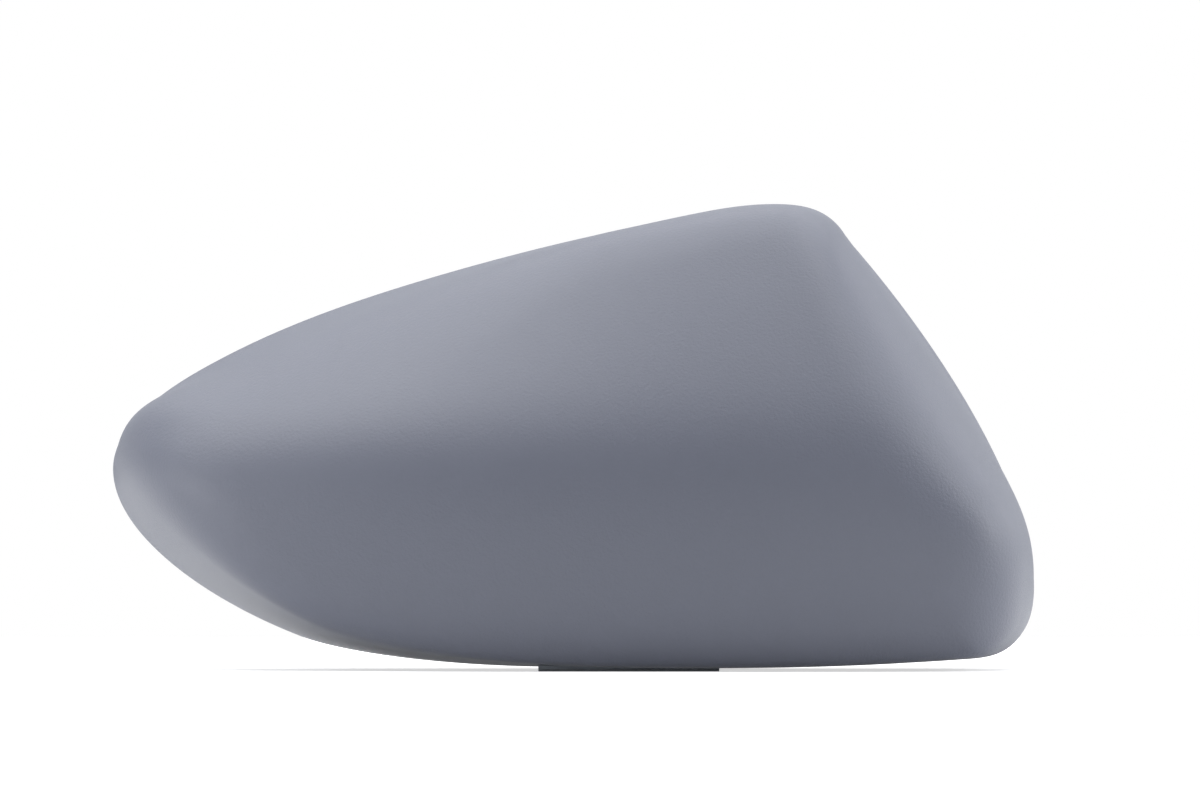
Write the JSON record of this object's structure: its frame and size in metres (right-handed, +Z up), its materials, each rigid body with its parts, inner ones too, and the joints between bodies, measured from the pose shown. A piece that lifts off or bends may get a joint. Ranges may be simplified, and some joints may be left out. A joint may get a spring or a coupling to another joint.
{
  "type": "wing mirror cover",
  "caption": "Moulded outer cap of a car wing mirror: thin crowned shell with folded side walls, open back, snap fingers and locating pegs inside, primer grey.",
  "frame": {"origin": "centre of the cover's bounding box at the level of the flat land that it rests on", "axes": "X along the cover with the door end at minus X and the outboard end at plus X, Y through its depth with the show face towards minus Y and the open side towards plus Y, Z up"},
  "size_m": [0.24, 0.084, 0.1206],
  "materials": {
    "primer": "matt grey primer with a fine grain outside, bare dark plastic inside"
  },
  "bodies": {
    "root": {"mirror_cover": "primer"}
  },
  "joints": []
}
